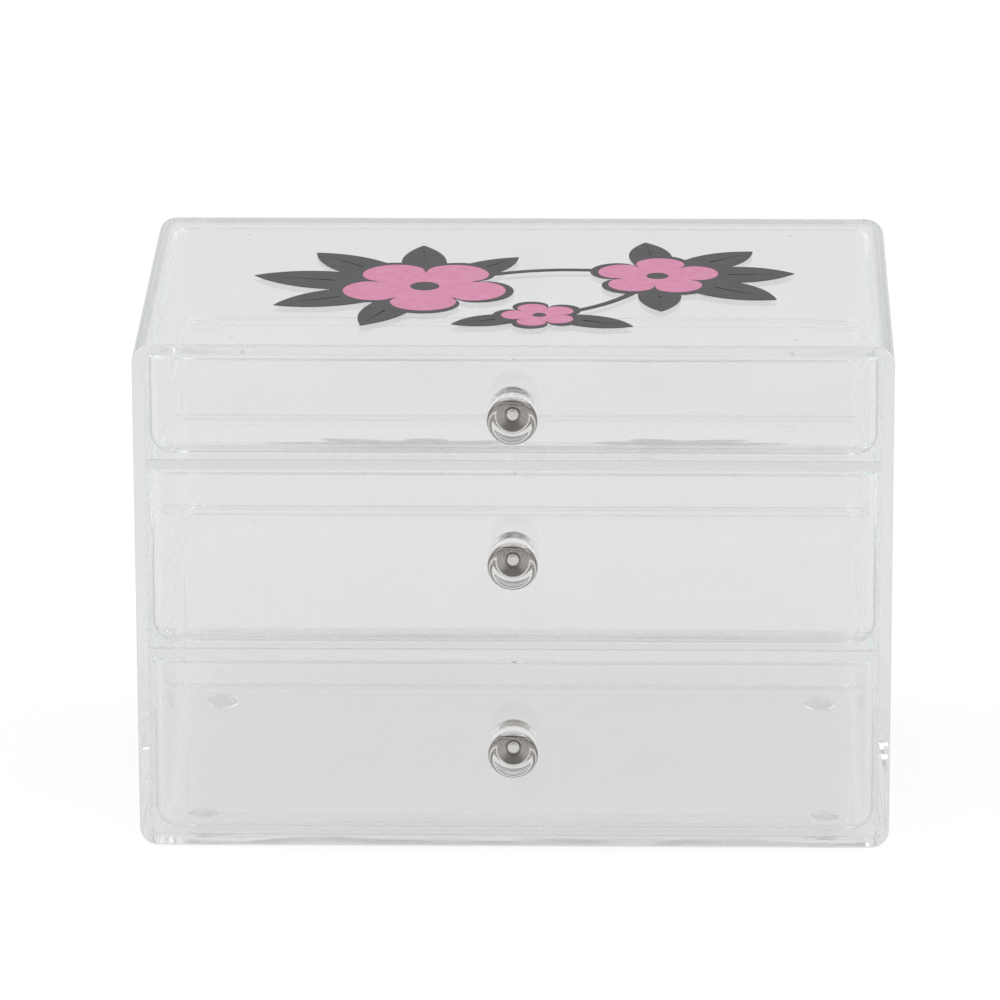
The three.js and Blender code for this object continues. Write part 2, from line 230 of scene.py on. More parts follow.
def add_waves(nodes, links, shader, place, scale, lean):
    """Tilts the surface to and fro by a small share, without the Bump node."""
    noise = nodes.new("ShaderNodeTexNoise")
    noise.inputs["Scale"].default_value = scale
    noise.inputs["Detail"].default_value = 1
    links.new(place, noise.inputs["Vector"])
    sway = nodes.new("ShaderNodeVectorMath")
    sway.operation = "SUBTRACT"
    sway.inputs[1].default_value = (0.5, 0.5, 0.5)
    links.new(noise.outputs["Color"], sway.inputs[0])
    tilt = nodes.new("ShaderNodeVectorMath")
    tilt.operation = "MULTIPLY_ADD"
    tilt.inputs[1].default_value = (lean, lean, lean)
    links.new(sway.outputs["Vector"], tilt.inputs[0])
    links.new(nodes.new("ShaderNodeNewGeometry").outputs["Normal"], tilt.inputs[2])
    whole = nodes.new("ShaderNodeVectorMath")
    whole.operation = "NORMALIZE"
    links.new(tilt.outputs["Vector"], whole.inputs[0])
    links.new(whole.outputs["Vector"], shader.inputs["Normal"])


# %% Clear plastic
CLEAR_IOR = 1.54
PASSED_ON = 0.95
SKIN_WAVES = 30
SMUDGES = 38
SMUDGE_SPAN = (0.5, 0.72)


def let_lamps_through(nodes, links, shader, share):
    """Swaps the shader for a plain see-through one, for rays to lamps and rays off matt surfaces."""
    path = nodes.new("ShaderNodeLightPath")
    clear = nodes.new("ShaderNodeBsdfTransparent")
    clear.inputs["Color"].default_value = (share, share, share, 1)
    surface = shader.outputs["BSDF"]
    for kind in ("Is Diffuse Ray", "Is Shadow Ray"):
        mix = nodes.new("ShaderNodeMixShader")
        links.new(path.outputs[kind], mix.inputs["Fac"])
        links.new(surface, mix.inputs[1])
        links.new(clear.outputs["BSDF"], mix.inputs[2])
        surface = mix.outputs["Shader"]
    links.new(surface, nodes["Material Output"].inputs["Surface"])


def clear_plastic(name, lean, haze, tint, tint_density):
    material, nodes, links, shader, place = new_material(name)
    shader.inputs["Base Color"].default_value = (1, 1, 1, 1)
    shader.inputs["Transmission Weight"].default_value = 1
    shader.inputs["IOR"].default_value = CLEAR_IOR
    smudges = add_noise(nodes, links, place, SMUDGES, detail=5)
    links.new(add_range(nodes, links, smudges, *SMUDGE_SPAN, 0.0, haze), shader.inputs["Roughness"])
    add_waves(nodes, links, shader, place, SKIN_WAVES, lean)
    let_lamps_through(nodes, links, shader, PASSED_ON)
    absorption = nodes.new("ShaderNodeVolumeAbsorption")
    absorption.inputs["Color"].default_value = (*tint, 1)
    absorption.inputs["Density"].default_value = tint_density
    links.new(absorption.outputs["Volume"], nodes["Material Output"].inputs["Volume"])
    return material


case_plastic = clear_plastic("clear case plastic", 0.0012, 0.05, (0.35, 0.5, 0.47), 0.4)
shelf_plastic = clear_plastic("clear shelf plastic", 0.0012, 0.05, (0.56, 0.62, 0.51), 1.2)
drawer_plastic = clear_plastic("clear drawer plastic", 0.002, 0.04, (0.8, 0.9, 0.88), 1.2)
knob_plastic = clear_plastic("clear knob plastic", 0.004, 0.02, (0.85, 0.88, 0.86), 1.2)

# %% [markdown]
# ## The other finishes
#
# The bumper pads are a soft clear rubber: the same recipe as the case, but hazy all through. The
# knobs hold a plated plug and a turned screw and washer, which are plain metals whose roughness
# varies in a fine grain. The print on the top is screen ink. It lies on the plastic as a thin satin
# coat, a little uneven where the squeegee has passed.


# %% Rubber and metals
RUBBER_IOR = 1.45
RUBBER_PASSED_ON = 0.9
RUBBER_GRAIN = 900
METAL_GRAIN = 2500
SHALLOW = 0.01 * MM


def soft_rubber(name):
    material, nodes, links, shader, place = new_material(name)
    shader.inputs["Base Color"].default_value = (0.95, 0.945, 0.91, 1)
    shader.inputs["Transmission Weight"].default_value = 1
    shader.inputs["IOR"].default_value = RUBBER_IOR
    grain = add_noise(nodes, links, place, RUBBER_GRAIN, detail=3)
    links.new(add_range(nodes, links, grain, *NOISE_SPAN, 0.18, 0.32), shader.inputs["Roughness"])
    add_bump(nodes, links, shader, grain, SHALLOW)
    let_lamps_through(nodes, links, shader, RUBBER_PASSED_ON)
    return material


def turned_metal(name, colour, smooth, rough, groove_depth):
    material, nodes, links, shader, place = new_material(name)
    shader.inputs["Base Color"].default_value = (*colour, 1)
    shader.inputs["Metallic"].default_value = 1
    grain = add_noise(nodes, links, place, METAL_GRAIN, detail=3)
    links.new(add_range(nodes, links, grain, *NOISE_SPAN, smooth, rough), shader.inputs["Roughness"])
    add_bump(nodes, links, shader, grain, groove_depth)
    return material


pad_rubber = soft_rubber("soft clear rubber")
plated = turned_metal("plated metal", (0.42, 0.385, 0.35), 0.05, 0.14, 0.002 * MM)
steel = turned_metal("turned steel", (0.78, 0.77, 0.76), 0.12, 0.26, 0.004 * MM)

# %% Inks
INK_MOTTLE = 260
INK_GRAIN = 1800
MOTTLE_SPAN = (0.35, 0.65)
INK_ROUGHNESS = 0.42
INK_GLOSS = 0.4


def screen_ink(name, colour, thin_colour):
    material, nodes, links, shader, place = new_material(name)
    mottle = add_noise(nodes, links, place, INK_MOTTLE, detail=6)
    blend = nodes.new("ShaderNodeMix")
    blend.data_type = "RGBA"
    blend.inputs["A"].default_value = (*colour, 1)
    blend.inputs["B"].default_value = (*thin_colour, 1)
    links.new(add_range(nodes, links, mottle, *MOTTLE_SPAN, 0.0, 1.0), blend.inputs["Factor"])
    links.new(blend.outputs["Result"], shader.inputs["Base Color"])
    shader.inputs["Roughness"].default_value = INK_ROUGHNESS
    shader.inputs["Specular IOR Level"].default_value = INK_GLOSS
    fine = add_noise(nodes, links, place, INK_GRAIN, detail=2)
    add_bump(nodes, links, shader, fine, SHALLOW)
    return material


pink_ink = screen_ink("pink ink", (0.725, 0.236, 0.41), (0.768, 0.284, 0.458))
grey_ink = screen_ink("grey ink", (0.032, 0.031, 0.033), (0.046, 0.045, 0.047))

# %% [markdown]
# ## The case
#
# The case is a sleeve of top, sides and base with round long edges. It could be a box with a
# Solidify modifier, but its top is a little thinner than its sides. So it starts as one upright
# rounded rectangle at the front, which is inset to a ring of the wall's width. The ring's upper
# inner edge moves up to make the thinner top, and the ring is then drawn back into a sleeve.
#
# Pieces that touch keep a hairline between them. Two clear faces in exactly the same place would
# leave the renderer to guess which comes first. With a hairline the joint looks as a real
# pushed-together joint does, with a faint mirror in it.

# %% Sizes of the case
HAIRLINE = 0.02 * MM
case_low, case_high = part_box("outer_case")
SIDE_WALL = 4.0 * MM
TOP_WALL = 3.5 * MM
CASE_RADIUS = 6.0 * MM
RIM_RADIUS = 0.7 * MM
RIB_SIDE_INSET = 31.0 * MM
RIB_WIDTH = 1.2 * MM
RIB_DROP = 0.8 * MM
FRONT_RIB = (12.0 * MM, 33.0 * MM)
BACK_RIB = (112.5 * MM, 126.5 * MM)

# %% Helpers for the case


def case_outline(bm, y):
    """An upright rounded rectangle of the case's outline."""
    middle = (case_low + case_high) / 2
    corners = bmesh.ops.create_grid(bm, x_segments=1, y_segments=1, size=0.5)["verts"]
    bmesh.ops.rotate(bm, verts=corners, cent=(0, 0, 0), matrix=Matrix.Rotation(math.pi / 2, 3, "X"))
    bmesh.ops.scale(bm, vec=(case_high.x - case_low.x, 1, case_high.z - case_low.z), verts=corners)
    bmesh.ops.translate(bm, vec=(middle.x, y, middle.z), verts=corners)
    round_off(bm, corners, CASE_RADIUS, affect="VERTICES")


def draw_back(bm, faces, depth):
    """Draws faces back along +Y into a closed solid."""
    made = bmesh.ops.extrude_face_region(bm, geom=faces, use_keep_orig=True)["geom"]
    moved = [v for v in made if isinstance(v, bmesh.types.BMVert)]
    bmesh.ops.translate(bm, vec=(0, depth, 0), verts=moved)
    bmesh.ops.recalc_face_normals(bm, faces=bm.faces)


def hang_ribs(bm, ceiling):
    """Four short ribs, cut out of a ceiling and drawn down from it."""
    def ceiling_faces():
        return [f for f in bm.faces if all(abs(v.co.z - ceiling) < SAME_PLACE for v in f.verts)]

    def cut(faces, place, axis):
        geom = faces + list({e for f in faces for e in f.edges}) + list({v for f in faces for v in f.verts})
        normal = [float(i == axis) for i in range(3)]
        origin = [place if i == axis else 0 for i in range(3)]
        bmesh.ops.bisect_plane(bm, geom=geom, plane_co=origin, plane_no=normal, dist=SAME_PLACE)

    def in_strip(face):
        return abs(abs(face.calc_center_median().x) - rib_x) < RIB_WIDTH / 2

    rib_x = case_high.x - RIB_SIDE_INSET
    for side in (-1, 1):
        for edge in (-1, 1):
            cut(ceiling_faces(), side * rib_x + edge * RIB_WIDTH / 2, 0)
    spans = [[case_low.y + end for end in span] for span in (FRONT_RIB, BACK_RIB)]
    for place in spans[0] + spans[1]:
        cut([f for f in ceiling_faces() if in_strip(f)], place, 1)
    feet = [
        f for f in ceiling_faces()
        if in_strip(f) and any(start < f.calc_center_median().y < end for start, end in spans)
    ]
    made = bmesh.ops.extrude_face_region(bm, geom=feet)["geom"]
    moved = [v for v in made if isinstance(v, bmesh.types.BMVert)]
    bmesh.ops.translate(bm, vec=(0, 0, -RIB_DROP), verts=moved)
    bmesh.ops.delete(bm, geom=feet, context="FACES_ONLY")


# %% Sleeve
def build_sleeve():
    bm = bmesh.new()
    case_outline(bm, case_low.y)
    ring = bmesh.ops.inset_individual(
        bm, faces=bm.faces[:], thickness=SIDE_WALL, use_even_offset=True,
    )["faces"]
    hole = [f for f in bm.faces if f not in ring]
    upper = [v for f in hole for v in f.verts if v.co.z > (case_low.z + case_high.z) / 2]
    bmesh.ops.translate(bm, vec=(0, 0, SIDE_WALL - TOP_WALL), verts=upper)
    bmesh.ops.delete(bm, geom=hole, context="FACES_ONLY")
    draw_back(bm, bm.faces[:], case_high.y - case_low.y - HAIRLINE)
    round_off(bm, sharp_only(edges_at(bm, 1, case_low.y)), RIM_RADIUS, RIM_STEPS)
    hang_ribs(bm, case_high.z - TOP_WALL)
    return make_piece(bm, "clear_sleeve", case_plastic, "case", ["outer_case"])


build_sleeve()

# %% [markdown]
# The back panel is the same outline, drawn back by its own thickness. The shelves are plain
# blocks whose two front edges are rounded to a soft nose. Both could be boxes with a live Bevel
# modifier, but only some of their edges are round, so the edges are picked one by one.

# %% Back panel and shelves
SHELF_THICKNESS = 3.4 * MM
SHELF_NOSE = 0.4 * MM


def build_back_panel():
    low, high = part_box("back_panel")
    bm = bmesh.new()
    case_outline(bm, low.y)
    draw_back(bm, bm.faces[:], high.y - low.y)
    round_off(bm, sharp_only(edges_at(bm, 1, high.y)), RIM_RADIUS, RIM_STEPS)
    return make_piece(bm, "clear_back", case_plastic, "case", ["back_panel"])


def build_shelf(node, name):
    low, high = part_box(node)
    underside = high.z - SHELF_THICKNESS
    bm = bmesh.new()
    gap = Vector((HAIRLINE, HAIRLINE, 0))
    add_block(bm, Vector((low.x, low.y - HAIRLINE, underside)) + gap, high - gap)
    nose = [e for e in edges_along(bm, 0) if e.verts[0].co.y < low.y + SAME_PLACE]
    round_off(bm, nose, SHELF_NOSE, RIM_STEPS)
    hang_ribs(bm, underside)
    return make_piece(bm, name, shelf_plastic, "case", [node])


build_back_panel()
build_shelf("lower_shelf", "clear_shelf_lower")
build_shelf("upper_shelf", "clear_shelf_upper")

# %% [markdown]
# ## The bumper pads
#
# Each pad is a low dome of soft clear rubber under a corner of the base. Half of its section,
# turned once round an upright axis, gives the dome with its flat to stand on. A pad is stuck on
# without any air under it, so its upper face lies a hair inside the base. Light then passes from
# one into the other, and the pad shows as a soft patch in the base's front edge.

# %% Pads
PAD_FLAT = 3.5 * MM
PAD_BITE = 0.05 * MM
DOME_SHARE = 0.7


def build_pad(node, name):
    low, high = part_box(node)
    middle = (low + high) / 2
    radius = (high.x - low.x) / 2
    top = high.z - low.z + PAD_BITE
    bm = bmesh.new()
    dome = (radius - PAD_FLAT) * DOME_SHARE
    lathe(bm, [(0, 0, 0), (radius, 0, dome), (radius, top, 0), (0, top, 0)], (0, 0, 0))
    bmesh.ops.rotate(bm, verts=bm.verts, cent=(0, 0, 0), matrix=Matrix.Rotation(-math.pi / 2, 3, "X"))
    bmesh.ops.translate(bm, vec=(middle.x, middle.y, low.z), verts=bm.verts)
    bmesh.ops.recalc_face_normals(bm, faces=bm.faces)
    return make_piece(bm, name, pad_rubber, "case", [node])


for end in ("front", "back"):
    for hand in ("left", "right"):
        build_pad(f"foot_{end}_{hand}", f"bumper_pad_{end}_{hand}")

# %% [markdown]
# ## The drawers
#
# A drawer is one moulded tray. Its upright corners have a radius of 8 mm. At the front and the
# sides its walls run into its floor in a wide round, and at the back in a tight one, which draws
# the thin dark line along the back of each drawer. Two bevels can't do that, because the round
# has to change its radius on the way through each corner. So the tray is a loft. It starts as its
# footprint, a rounded rectangle, whose outline is extruded from level to level: up the outside,
# over the rim and down the inside, which gives the wall its thickness as well. At each level the
# four corners are scaled about their own centres, with one margin at the back and another
# elsewhere. A Boolean modifier then drills the hole for the knob's screw. It is applied at once,
# so that the piece is a plain mesh.

# %% Sizes of the trays
WALL = 2.2 * MM
TRAY_CORNER = 8.0 * MM
TRAY_BOTTOM = 6.5 * MM
TRAY_BACK_BOTTOM = 2.7 * MM
TRAY_RIM = 0.55 * MM
SCREW_RADIUS = 2.0 * MM
SCREW_CLEARANCE = 0.3 * MM

# %% Helpers for holes


def apply_modifiers(piece):
    """Puts the modifiers' result in the piece's own mesh, so that none is left live."""
    bpy.context.view_layer.update()
    shaped = piece.evaluated_get(bpy.context.evaluated_depsgraph_get())
    mesh = bpy.data.meshes.new_from_object(shaped)
    piece.modifiers.clear()
    piece.data = mesh
    return piece


def bare_object(bm, name):
    mesh = bpy.data.meshes.new(name)
    bm.to_mesh(mesh)
    bm.free()
    piece = bpy.data.objects.new(name, mesh)
    bpy.context.scene.collection.objects.link(piece)
    return piece


def mesh_of(piece):
    """The mesh of a helper object as a bmesh. The helper object goes."""
    bm = bmesh.new()
    bm.from_mesh(piece.data)
    bpy.data.objects.remove(piece)
    return bm


def drill(name, centre, radius, length):
    bm = bmesh.new()
    turn = Matrix.Rotation(math.pi / 2, 4, "X")
    bmesh.ops.create_cone(
        bm, cap_ends=True, segments=TURN_STEPS, radius1=radius, radius2=radius, depth=length,
        matrix=Matrix.Translation(centre) @ turn,
    )
    return bare_object(bm, name)


def knob_axis(drawer):
    """The point where the knob's axis meets the drawer's front."""
    low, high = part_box(f"knob_{drawer}")
    front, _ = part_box(f"drawer_{drawer}")
    return Vector(((low.x + high.x) / 2, front.y, (low.z + high.z) / 2))


# %% The levels of a tray
def foot_margin(height, radius):
    """How far a wall with a round foot stands in from its upright part, at a height."""
    if height >= radius:
        return 0.0
    return radius - math.sqrt(radius ** 2 - (radius - height) ** 2)


def tray_levels(height):
    """Heights and margins of the tray's skin: up the outside, over the rim and down the inside."""
    turns = [step / ROUND_STEPS * math.pi / 2 for step in range(ROUND_STEPS + 1)]
    outside, inside = [], []
    for levels, wall in ((outside, 0.0), (inside, WALL)):
        for turn in turns:
            z = (TRAY_BOTTOM - wall) * (1 - math.cos(turn))
            side = wall + foot_margin(z, TRAY_BOTTOM - wall)
            back = wall + foot_margin(z, TRAY_BACK_BOTTOM - wall)
            levels.append((wall + z, side, back))
    rim = []
    for step in range(2 * RIM_STEPS + 1):
        turn = step / RIM_STEPS * math.pi / 2
        margin = TRAY_RIM * (1 - math.cos(turn))
        if turn > math.pi / 2:
            margin = WALL - TRAY_RIM * (1 + math.cos(turn))
        rim.append((height - TRAY_RIM * (1 - math.sin(turn)), margin, margin))
        if step == RIM_STEPS:
            across = WALL - TRAY_RIM
            rim.append((height, across, across))
    return outside + rim + inside[::-1]


# %% Trays
def fit_corners(bm, points, low, high, before, after):
    """Scales the corners of an outline about their centres, from one level's margins to the next."""
    middle = (low + high) / 2
    for right in (False, True):
        for rear in (False, True):
            centre = Vector((
                high.x - TRAY_CORNER if right else low.x + TRAY_CORNER,
                high.y - TRAY_CORNER if rear else low.y + TRAY_CORNER, 0,
            ))
            corner = [v for v in points if (v.co.x > middle.x) == right and (v.co.y > middle.y) == rear]
            along = 2 if rear else 1
            share_x = (TRAY_CORNER - after[1]) / (TRAY_CORNER - before[1])
            share_y = (TRAY_CORNER - after[along]) / (TRAY_CORNER - before[along])
            bmesh.ops.scale(bm, vec=(share_x, share_y, 1), verts=corner, space=Matrix.Translation(-centre))


def climb(bm, outline, low, high, before, after):
    """Extrudes an outline from one level of the tray to the next."""
    made = bmesh.ops.extrude_edge_only(bm, edges=outline)["geom"]
    points = {item for item in made if isinstance(item, bmesh.types.BMVert)}
    bmesh.ops.translate(bm, vec=(0, 0, after[0] - before[0]), verts=list(points))
    fit_corners(bm, points, low, high, before, after)
    return [item for item in made if isinstance(item, bmesh.types.BMEdge) and points.issuperset(item.verts)]


def build_tray(drawer):
    low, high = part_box(f"drawer_{drawer}")
    middle = (low + high) / 2
    levels = tray_levels(high.z - low.z)
    bm = bmesh.new()
    corners = bmesh.ops.create_grid(bm, x_segments=1, y_segments=1, size=0.5)["verts"]
    bmesh.ops.scale(bm, vec=(high.x - low.x, high.y - low.y, 1), verts=corners)
    bmesh.ops.translate(bm, vec=(middle.x, middle.y, low.z), verts=corners)
    round_off(bm, corners, TRAY_CORNER, affect="VERTICES")
    fit_corners(bm, bm.verts[:], low, high, (0, 0, 0), levels[0])
    outline = bm.edges[:]
    for before, after in zip(levels, levels[1:]):
        outline = climb(bm, outline, low, high, before, after)
    bmesh.ops.contextual_create(bm, geom=outline)
    bmesh.ops.recalc_face_normals(bm, faces=bm.faces)
    shell = bare_object(bm, "shell")
    bit = drill("bit", knob_axis(drawer), SCREW_RADIUS + SCREW_CLEARANCE, WALL * 3)
    hole = shell.modifiers.new("hole", "BOOLEAN")
    hole.operation = "DIFFERENCE"
    hole.object = bit
    apply_modifiers(shell)
    bpy.data.objects.remove(bit)
    return make_piece(
        mesh_of(shell), f"clear_tray_{drawer}", drawer_plastic, f"{drawer}_drawer",
        [f"drawer_{drawer}"],
    )


DRAWERS = ("bottom", "middle", "top")
for drawer in DRAWERS:
    build_tray(drawer)

# %% [markdown]
# ## The knobs
#
# A knob is a clear head, moulded with a stepped bore in its back, over a plated sleeve with a
# flange and a threaded hole. Seen from the front, the sleeve's dished end is a dark ring deep in
# the head, with the bright tip of the screw in its middle. The flange behind it darkens the upper
# half of the head, and the lower half mirrors the pale floor. That is why each of the pieces has
# its own closed surface. All four are turned shapes, so each is a half outline, spun round the
# knob's axis. Distances are counted ahead of the drawer's front, so that what lies behind the
# front wall is below zero.

# %% Sizes of the knobs
HEAD_RADIUS = 8.0 * MM
HEAD_TAPER = 1.0 * MM
TAPER_LENGTH = 3.0 * MM
HEAD_REACH = 16.0 * MM
HEAD_EDGE = 2.0 * MM
HEAD_CROWN = 0.8 * MM
PLUG_RADIUS = 4.7 * MM
PLUG_LENGTH = 6.5 * MM
PLUG_DISH = 1.3 * MM
PLUG_RIM_SHARE = 0.94
FLANGE_RADIUS = 5.9 * MM
FLANGE_THICKNESS = 1.2 * MM
BORE_CLEARANCE = 0.3 * MM
WASHER_RADIUS = 4.5 * MM
WASHER_THICKNESS = 0.8 * MM
SCREW_HEAD_RADIUS = 3.4 * MM
SCREW_HEAD_HEIGHT = 2.2 * MM
SLOT_LENGTH = 3.8 * MM
SLOT_WIDTH = 0.9 * MM
SLOT_DEPTH = 1.2 * MM
SCREW_TIP = 0.5 * MM
CROWN_PLACE = (0.45, 0.25)
CROWN_SHOULDER = 1.5 * MM
TAPER_SHOULDER = 1.6 * MM
BORE_ROUND = 0.4 * MM
EDGE_ROUND = 0.3 * MM
FINE_ROUND = 0.2 * MM
TINY_ROUND = 0.1 * MM


# %% Knob heads and sleeves
def turned_piece(drawer, kind, name, outline, material):
    bm = bmesh.new()
    lathe(bm, outline, knob_axis(drawer))
    bmesh.ops.recalc_face_normals(bm, faces=bm.faces)
    return make_piece(bm, f"{name}_{drawer}", material, f"{drawer}_drawer", [f"{kind}_{drawer}"])


def build_head(drawer):
    bore = PLUG_RADIUS + BORE_CLEARANCE
    bore_end = PLUG_LENGTH + BORE_CLEARANCE
    seat = FLANGE_THICKNESS + BORE_CLEARANCE
    turned_piece(drawer, "knob", "knob_head", [
        (0, bore_end, 0),
        (bore, bore_end, BORE_ROUND),
        (bore, seat, 0),
        (FLANGE_RADIUS + BORE_CLEARANCE, seat, 0),
        (FLANGE_RADIUS + BORE_CLEARANCE, HAIRLINE, 0),
        (HEAD_RADIUS - HEAD_TAPER, HAIRLINE, EDGE_ROUND),
        (HEAD_RADIUS, TAPER_LENGTH, TAPER_SHOULDER),
        (HEAD_RADIUS, HEAD_REACH - HEAD_CROWN, HEAD_EDGE),
        (HEAD_RADIUS * CROWN_PLACE[0], HEAD_REACH - HEAD_CROWN * CROWN_PLACE[1], CROWN_SHOULDER),
        (0, HEAD_REACH, 0),
    ], knob_plastic)


def build_plug(drawer):
    """A flanged sleeve with a threaded hole right through it and a dished face."""
    thread = SCREW_RADIUS + SCREW_CLEARANCE
    dish_end = PLUG_LENGTH - PLUG_DISH
    turned_piece(drawer, "knob_insert", "knob_plug", [
        (thread, dish_end, 0),
        (thread, HAIRLINE, FINE_ROUND),
        (FLANGE_RADIUS, HAIRLINE, FINE_ROUND),
        (FLANGE_RADIUS, FLANGE_THICKNESS, EDGE_ROUND),
        (PLUG_RADIUS, FLANGE_THICKNESS, TINY_ROUND),
        (PLUG_RADIUS, PLUG_LENGTH, FINE_ROUND),
        (PLUG_RADIUS * PLUG_RIM_SHARE, PLUG_LENGTH, TINY_ROUND),
        (thread, dish_end, 0),
    ], plated)


# %% Washers and screws
def build_washer(drawer):
    inner = SCREW_RADIUS + SCREW_CLEARANCE
    face = -WALL - HAIRLINE
    back = -WALL - WASHER_THICKNESS
    turned_piece(drawer, "knob_washer", "knob_ring", [
        (inner, face, 0),
        (WASHER_RADIUS, face, 0.15 * MM),
        (WASHER_RADIUS, back, 0.25 * MM),
        (inner, back, 0.15 * MM),
        (inner, face, 0),
    ], steel)


def build_screw(drawer):
    """A domed head with a cross slot, sunk by two blocks."""
    seat = -WALL - WASHER_THICKNESS - HAIRLINE
    head_end = seat - SCREW_HEAD_HEIGHT + HAIRLINE
    tip = PLUG_LENGTH - PLUG_DISH + SCREW_TIP
    axis = knob_axis(drawer)
    bm = bmesh.new()
    lathe(bm, [
        (0, head_end, 0),
        (SCREW_HEAD_RADIUS * 0.9, head_end + 0.15 * MM, 0.7 * MM),
        (SCREW_HEAD_RADIUS, seat, 0.2 * MM),
        (SCREW_RADIUS, seat, 0),
        (SCREW_RADIUS, tip - 0.6 * MM, 0.3 * MM),
        (SCREW_RADIUS * 0.7, tip, 0.4 * MM),
        (0, tip + 0.1 * MM, 0),
    ], axis)
    bmesh.ops.recalc_face_normals(bm, faces=bm.faces)
    screw = bare_object(bm, "screw")
    bm = bmesh.new()
    slot_middle = axis - Vector((0, head_end, 0))
    for width, height in ((SLOT_LENGTH, SLOT_WIDTH), (SLOT_WIDTH, SLOT_LENGTH)):
        half = Vector((width, 2 * SLOT_DEPTH, height)) / 2
        add_block(bm, slot_middle - half, slot_middle + half)
    cutter = bare_object(bm, "cross")
    slot = screw.modifiers.new("slot", "BOOLEAN")
    slot.operation = "DIFFERENCE"
    slot.object = cutter
    slot.use_self = True
    apply_modifiers(screw)
    bpy.data.objects.remove(cutter)
    make_piece(mesh_of(screw), f"knob_bolt_{drawer}", steel, f"{drawer}_drawer",
               [f"knob_screw_{drawer}"])


for drawer in DRAWERS:
    build_head(drawer)
    build_plug(drawer)
    build_washer(drawer)
    build_screw(drawer)

# %% [markdown]
# ## The print
#
# The top carries a spray of leaves and three blossoms in two screen inks. Each ink is a film a
# fifth of a millimetre thick, drawn as flat outlines and raised into thin prisms. A petal's edge
# follows one formula all the way round a blossom, and a leaf is two curves between two points.
#
# The leaves, stems and contour lines overlap, so the Boolean modifier joins them and then cuts
# out the veins and the space for the petals. The films lie a hairline above the top. Were they
# joined to it optically, each edge of the top would show them as a row of black strips.

# %% Sizes of the print
PRINT_UNIT = 1.74 * MM
PRINT_FORWARD = 4.0 * MM
INK_GAP = 0.15 * MM
CONTOUR_WIDTH = 2.5 * MM
STEM_WIDTH = 2.4 * MM
VEIN_WIDTH = 0.8 * MM
PETALS = 5
PETAL_STEPS = 24
PETAL_NOTCH = 0.56
PETAL_ROUNDNESS = 0.5
HEART_SHARE = 0.17
BELLY_SHARE = 0.62
VEIN_SHARE = 0.78
CURVE_STEPS = 24
BLOSSOMS = {
    "left": {"at": (-17, -2), "radius": 15.5, "turn": 18},
    "right": {"at": (26, 5), "radius": 11.5, "turn": 50},
    "front": {"at": (4.5, -20), "radius": 7, "turn": 0},
}
LEAVES = {
    "left": ((168, 17, 11), (204, 14.5, 10), (134, 14.5, 10), (246, 11.5, 8.5), (92, 11, 8.5), (48, 10, 8)),
    "right": ((4, 14, 10), (326, 15, 10), (42, 12.5, 9), (96, 10.5, 8), (272, 11, 8)),
    "front": ((338, 11.5, 7), (200, 10, 6.5)),
}
STEMS = (("left", "right", (4.5, 15.5)), ("right", "front", (19.5, -16)))

print_low, print_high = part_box("print_leaves")
film_bottom = print_low.z + HAIRLINE
print_middle = Vector((0, (case_low.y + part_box("back_panel")[1].y) / 2 - PRINT_FORWARD, 0))


def on_print(point):
    """A place on the print, from hundredths of its width to metres."""
    return print_middle + Vector((point[0], point[1], 0)) * PRINT_UNIT


def raise_film(bm, faces):
    """Raises flat faces to the film's upper face."""
    made = bmesh.ops.extrude_face_region(bm, geom=faces)["geom"]
    moved = [v for v in made if isinstance(v, bmesh.types.BMVert)]
    bmesh.ops.translate(bm, vec=(0, 0, print_high.z - film_bottom), verts=moved)


def add_film(bm, points):
    """A flat outline as a thin prism."""
    corners = [bm.verts.new((point.x, point.y, film_bottom)) for point in points]
    raise_film(bm, [bm.faces.new(corners)])


def petal_edge(blossom, growth=0.0):
    """The outline of a blossom's petals, grown all round by a margin."""
    radius = blossom["radius"] * PRINT_UNIT + growth
    centre = on_print(blossom["at"])
    points = []
    for step in range(PETALS * PETAL_STEPS):
        lobe = math.sin(step % PETAL_STEPS / PETAL_STEPS * math.pi) ** PETAL_ROUNDNESS
        reach = radius * (PETAL_NOTCH + (1 - PETAL_NOTCH) * lobe)
        angle = math.radians(blossom["turn"]) + step / (PETALS * PETAL_STEPS) * math.tau
        points.append(centre + reach * Vector((math.cos(angle), math.sin(angle), 0)))
    return points


def curve_points(start, bend, end):
    """Points along a curve from start to end that is drawn towards bend."""
    first, second = start.lerp(bend, 2 / 3), end.lerp(bend, 2 / 3)
    return interpolate_bezier(start, first, second, end, CURVE_STEPS + 1)


# %% The grey film of leaves, stems and contours
def leaf_edge(blossom, angle, reach, width):
    centre = on_print(blossom["at"])
    length = (blossom["radius"] + reach) * PRINT_UNIT
    belly = Vector((BELLY_SHARE * length, width * PRINT_UNIT, 0))
    tip = Vector((length, 0, 0))
    lower = curve_points(Vector((0, 0, 0)), Vector((belly.x, -belly.y, 0)), tip)
    upper = curve_points(tip, belly, Vector((0, 0, 0)))
    turn = Matrix.Rotation(math.radians(angle), 3, "Z")
    return [centre + turn @ point for point in lower[:-1] + upper[:-1]]


def vein_edge(blossom, angle, reach):
    centre = on_print(blossom["at"])
    start = blossom["radius"] * PRINT_UNIT + CONTOUR_WIDTH + INK_GAP
    end = (blossom["radius"] + VEIN_SHARE * reach) * PRINT_UNIT
    turn = Matrix.Rotation(math.radians(angle), 3, "Z")
    wedge = ((start, -VEIN_WIDTH / 2), (end, 0), (start, VEIN_WIDTH / 2))
    return [centre + turn @ Vector((x, y, 0)) for x, y in wedge]


